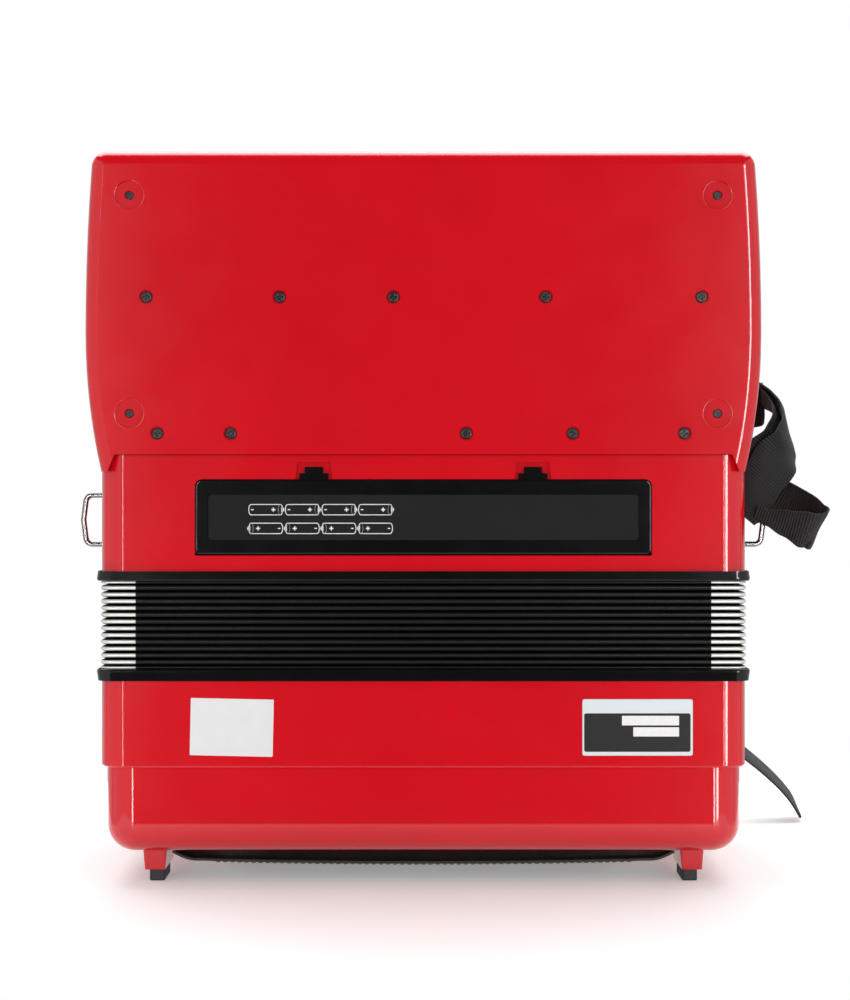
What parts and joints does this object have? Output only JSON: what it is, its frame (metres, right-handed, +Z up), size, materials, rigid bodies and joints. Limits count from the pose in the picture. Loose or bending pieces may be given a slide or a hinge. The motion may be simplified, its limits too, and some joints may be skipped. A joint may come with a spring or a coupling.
{
  "type": "digital piano accordion",
  "caption": "Compact red digital piano accordion standing on its bass end: keyboard casing over a treble box, black bellows and a bass box on feet, with straps.",
  "frame": {"origin": "on the floor, midway between the four rubber feet of the bass end", "axes": "+Z up from the feet to the keyboard end, -Y the player's side, +Y the keys and grille, X along the keyboard"},
  "size_m": [0.4615, 0.2546, 0.417],
  "materials": {
    "red_gloss": "high gloss lacquered",
    "black_gloss": "gloss",
    "black_satin": "satin",
    "black_leather": "grained",
    "rubber": "matt",
    "bellows_cloth": "coated cloth",
    "chrome": "polished",
    "label": "smooth",
    "speaker_cloth": "fine weave",
    "speaker": "matt",
    "circuit_board": "satin",
    "cell_sleeve": "gloss",
    "spring_steel": "bright",
    "aluminium": "satin",
    "black_screw": "satin",
    "black_webbing": "twill",
    "key_white": "gloss",
    "key_black": "satin gloss",
    "button_white": "gloss"
  },
  "bodies": {
    "bass_body": {"bass_case": "red_gloss", "bass_cover": "red_gloss", "bass_button_board": "black_satin", "hand_strap": "black_leather", "rubber_feet": "rubber", "lower_bellows_frame": "black_gloss", "bellows": "bellows_cloth", "bellows_corners": "chrome", "label_plates": "label"},
    "treble_body": {"treble_case": "red_gloss", "treble_grille": "red_gloss", "grille_cloth": "speaker_cloth", "speakers": "speaker", "main_board": "circuit_board", "battery_tray": "black_satin", "batteries": "cell_sleeve", "battery_contacts": "spring_steel", "keyboard_back_cover": "red_gloss", "key_bed": "aluminium", "key_axle": "spring_steel", "case_screws": "black_screw", "upper_bellows_frame": "black_gloss", "strap_brackets": "chrome", "shoulder_strap": "black_webbing"},
    "battery_door": {"battery_door": "black_gloss"},
    "register_buttons": {"register_buttons": "black_satin"},
    "volume_knob": {"volume_knob": "black_satin"},
    "air_button": {"air_button": "button_white"},
    "key_b3": {"key_b3": "key_white"},
    "key_c4": {"key_c4": "key_white"},
    "key_c_sharp4": {"key_c_sharp4": "key_black"},
    "key_d4": {"key_d4": "key_white"},
    "key_d_sharp4": {"key_d_sharp4": "key_black"},
    "key_e4": {"key_e4": "key_white"},
    "key_f4": {"key_f4": "key_white"},
    "key_f_sharp4": {"key_f_sharp4": "key_black"},
    "key_g4": {"key_g4": "key_white"},
    "key_g_sharp4": {"key_g_sharp4": "key_black"},
    "key_a4": {"key_a4": "key_white"},
    "key_a_sharp4": {"key_a_sharp4": "key_black"},
    "key_b4": {"key_b4": "key_white"},
    "key_c5": {"key_c5": "key_white"},
    "key_c_sharp5": {"key_c_sharp5": "key_black"},
    "key_d5": {"key_d5": "key_white"},
    "key_d_sharp5": {"key_d_sharp5": "key_black"},
    "key_e5": {"key_e5": "key_white"},
    "key_f5": {"key_f5": "key_white"},
    "key_f_sharp5": {"key_f_sharp5": "key_black"},
    "key_g5": {"key_g5": "key_white"},
    "key_g_sharp5": {"key_g_sharp5": "key_black"},
    "key_a5": {"key_a5": "key_white"},
    "key_a_sharp5": {"key_a_sharp5": "key_black"},
    "key_b5": {"key_b5": "key_white"},
    "key_c6": {"key_c6": "key_white"},
    "bass_buttons_row_1": {"bass_buttons_row_1": "button_white"},
    "bass_buttons_row_2": {"bass_buttons_row_2": "button_white"},
    "bass_buttons_row_3": {"bass_buttons_row_3": "button_white"},
    "bass_buttons_row_4": {"bass_buttons_row_4": "button_white"},
    "bass_buttons_row_5": {"bass_buttons_row_5": "button_white"},
    "bass_buttons_row_6": {"bass_buttons_row_6": "button_white"}
  },
  "joints": [
    {"name": "bellows_slide", "type": "slide", "parent": "bass_body", "child": "treble_body", "axis": [0, 0, 1], "range_m": [0, 0.2], "deforming": ["bellows", "bellows_corners"]},
    {"name": "battery_door_hinge", "type": "hinge", "parent": "treble_body", "child": "battery_door", "pos_m": [0, -0.0988, 0.19019], "axis": [1, 0, 0], "range_deg": [0, 80]},
    {"name": "register_buttons_press", "type": "slide", "parent": "treble_body", "child": "register_buttons", "axis": [0, 0, -1], "range_m": [0, 0.0015], "stiffness_N_per_m": 400, "springref_m": -0.001},
    {"name": "volume_knob_turn", "type": "hinge", "parent": "treble_body", "child": "volume_knob", "pos_m": [-0.132, -0.027, 0.29399], "axis": [0, 0, 1], "range_deg": [-150, 150]},
    {"name": "air_button_press", "type": "slide", "parent": "bass_body", "child": "air_button", "axis": [0, 0, 1], "range_m": [0, 0.004], "stiffness_N_per_m": 300},
    {"name": "key_b3_press", "type": "hinge", "parent": "treble_body", "child": "key_b3", "pos_m": [0, -0.0647, 0.26639], "axis": [1, 0, 0], "range_deg": [0, 1.6], "stiffness_Nm_per_rad": 2, "springref_deg": -1.15},
    {"name": "key_c4_press", "type": "hinge", "parent": "treble_body", "child": "key_c4", "pos_m": [0, -0.0647, 0.26639], "axis": [1, 0, 0], "range_deg": [0, 1.6], "stiffness_Nm_per_rad": 2, "springref_deg": -1.15},
    {"name": "key_c_sharp4_press", "type": "hinge", "parent": "treble_body", "child": "key_c_sharp4", "pos_m": [0, -0.0647, 0.26639], "axis": [1, 0, 0], "range_deg": [0, 1.6], "stiffness_Nm_per_rad": 2, "springref_deg": -1.15},
    {"name": "key_d4_press", "type": "hinge", "parent": "treble_body", "child": "key_d4", "pos_m": [0, -0.0647, 0.26639], "axis": [1, 0, 0], "range_deg": [0, 1.6], "stiffness_Nm_per_rad": 2, "springref_deg": -1.15},
    {"name": "key_d_sharp4_press", "type": "hinge", "parent": "treble_body", "child": "key_d_sharp4", "pos_m": [0, -0.0647, 0.26639], "axis": [1, 0, 0], "range_deg": [0, 1.6], "stiffness_Nm_per_rad": 2, "springref_deg": -1.15},
    {"name": "key_e4_press", "type": "hinge", "parent": "treble_body", "child": "key_e4", "pos_m": [0, -0.0647, 0.26639], "axis": [1, 0, 0], "range_deg": [0, 1.6], "stiffness_Nm_per_rad": 2, "springref_deg": -1.15},
    {"name": "key_f4_press", "type": "hinge", "parent": "treble_body", "child": "key_f4", "pos_m": [0, -0.0647, 0.26639], "axis": [1, 0, 0], "range_deg": [0, 1.6], "stiffness_Nm_per_rad": 2, "springref_deg": -1.15},
    {"name": "key_f_sharp4_press", "type": "hinge", "parent": "treble_body", "child": "key_f_sharp4", "pos_m": [0, -0.0647, 0.26639], "axis": [1, 0, 0], "range_deg": [0, 1.6], "stiffness_Nm_per_rad": 2, "springref_deg": -1.15},
    {"name": "key_g4_press", "type": "hinge", "parent": "treble_body", "child": "key_g4", "pos_m": [0, -0.0647, 0.26639], "axis": [1, 0, 0], "range_deg": [0, 1.6], "stiffness_Nm_per_rad": 2, "springref_deg": -1.15},
    {"name": "key_g_sharp4_press", "type": "hinge", "parent": "treble_body", "child": "key_g_sharp4", "pos_m": [0, -0.0647, 0.26639], "axis": [1, 0, 0], "range_deg": [0, 1.6], "stiffness_Nm_per_rad": 2, "springref_deg": -1.15},
    {"name": "key_a4_press", "type": "hinge", "parent": "treble_body", "child": "key_a4", "pos_m": [0, -0.0647, 0.26639], "axis": [1, 0, 0], "range_deg": [0, 1.6], "stiffness_Nm_per_rad": 2, "springref_deg": -1.15},
    {"name": "key_a_sharp4_press", "type": "hinge", "parent": "treble_body", "child": "key_a_sharp4", "pos_m": [0, -0.0647, 0.26639], "axis": [1, 0, 0], "range_deg": [0, 1.6], "stiffness_Nm_per_rad": 2, "springref_deg": -1.15},
    {"name": "key_b4_press", "type": "hinge", "parent": "treble_body", "child": "key_b4", "pos_m": [0, -0.0647, 0.26639], "axis": [1, 0, 0], "range_deg": [0, 1.6], "stiffness_Nm_per_rad": 2, "springref_deg": -1.15},
    {"name": "key_c5_press", "type": "hinge", "parent": "treble_body", "child": "key_c5", "pos_m": [0, -0.0647, 0.26639], "axis": [1, 0, 0], "range_deg": [0, 1.6], "stiffness_Nm_per_rad": 2, "springref_deg": -1.15},
    {"name": "key_c_sharp5_press", "type": "hinge", "parent": "treble_body", "child": "key_c_sharp5", "pos_m": [0, -0.0647, 0.26639], "axis": [1, 0, 0], "range_deg": [0, 1.6], "stiffness_Nm_per_rad": 2, "springref_deg": -1.15},
    {"name": "key_d5_press", "type": "hinge", "parent": "treble_body", "child": "key_d5", "pos_m": [0, -0.0647, 0.26639], "axis": [1, 0, 0], "range_deg": [0, 1.6], "stiffness_Nm_per_rad": 2, "springref_deg": -1.15},
    {"name": "key_d_sharp5_press", "type": "hinge", "parent": "treble_body", "child": "key_d_sharp5", "pos_m": [0, -0.0647, 0.26639], "axis": [1, 0, 0], "range_deg": [0, 1.6], "stiffness_Nm_per_rad": 2, "springref_deg": -1.15},
    {"name": "key_e5_press", "type": "hinge", "parent": "treble_body", "child": "key_e5", "pos_m": [0, -0.0647, 0.26639], "axis": [1, 0, 0], "range_deg": [0, 1.6], "stiffness_Nm_per_rad": 2, "springref_deg": -1.15},
    {"name": "key_f5_press", "type": "hinge", "parent": "treble_body", "child": "key_f5", "pos_m": [0, -0.0647, 0.26639], "axis": [1, 0, 0], "range_deg": [0, 1.6], "stiffness_Nm_per_rad": 2, "springref_deg": -1.15},
    {"name": "key_f_sharp5_press", "type": "hinge", "parent": "treble_body", "child": "key_f_sharp5", "pos_m": [0, -0.0647, 0.26639], "axis": [1, 0, 0], "range_deg": [0, 1.6], "stiffness_Nm_per_rad": 2, "springref_deg": -1.15},
    {"name": "key_g5_press", "type": "hinge", "parent": "treble_body", "child": "key_g5", "pos_m": [0, -0.0647, 0.26639], "axis": [1, 0, 0], "range_deg": [0, 1.6], "stiffness_Nm_per_rad": 2, "springref_deg": -1.15},
    {"name": "key_g_sharp5_press", "type": "hinge", "parent": "treble_body", "child": "key_g_sharp5", "pos_m": [0, -0.0647, 0.26639], "axis": [1, 0, 0], "range_deg": [0, 1.6], "stiffness_Nm_per_rad": 2, "springref_deg": -1.15},
    {"name": "key_a5_press", "type": "hinge", "parent": "treble_body", "child": "key_a5", "pos_m": [0, -0.0647, 0.26639], "axis": [1, 0, 0], "range_deg": [0, 1.6], "stiffness_Nm_per_rad": 2, "springref_deg": -1.15},
    {"name": "key_a_sharp5_press", "type": "hinge", "parent": "treble_body", "child": "key_a_sharp5", "pos_m": [0, -0.0647, 0.26639], "axis": [1, 0, 0], "range_deg": [0, 1.6], "stiffness_Nm_per_rad": 2, "springref_deg": -1.15},
    {"name": "key_b5_press", "type": "hinge", "parent": "treble_body", "child": "key_b5", "pos_m": [0, -0.0647, 0.26639], "axis": [1, 0, 0], "range_deg": [0, 1.6], "stiffness_Nm_per_rad": 2, "springref_deg": -1.15},
    {"name": "key_c6_press", "type": "hinge", "parent": "treble_body", "child": "key_c6", "pos_m": [0, -0.0647, 0.26639], "axis": [1, 0, 0], "range_deg": [0, 1.6], "stiffness_Nm_per_rad": 2, "springref_deg": -1.15},
    {"name": "bass_buttons_row_1_press", "type": "slide", "parent": "bass_body", "child": "bass_buttons_row_1", "axis": [0, 0, 1], "range_m": [0, 0.003], "stiffness_N_per_m": 600},
    {"name": "bass_buttons_row_2_press", "type": "slide", "parent": "bass_body", "child": "bass_buttons_row_2", "axis": [0, 0, 1], "range_m": [0, 0.003], "stiffness_N_per_m": 600},
    {"name": "bass_buttons_row_3_press", "type": "slide", "parent": "bass_body", "child": "bass_buttons_row_3", "axis": [0, 0, 1], "range_m": [0, 0.003], "stiffness_N_per_m": 600},
    {"name": "bass_buttons_row_4_press", "type": "slide", "parent": "bass_body", "child": "bass_buttons_row_4", "axis": [0, 0, 1], "range_m": [0, 0.003], "stiffness_N_per_m": 600},
    {"name": "bass_buttons_row_5_press", "type": "slide", "parent": "bass_body", "child": "bass_buttons_row_5", "axis": [0, 0, 1], "range_m": [0, 0.003], "stiffness_N_per_m": 600},
    {"name": "bass_buttons_row_6_press", "type": "slide", "parent": "bass_body", "child": "bass_buttons_row_6", "axis": [0, 0, 1], "range_m": [0, 0.003], "stiffness_N_per_m": 600}
  ]
}
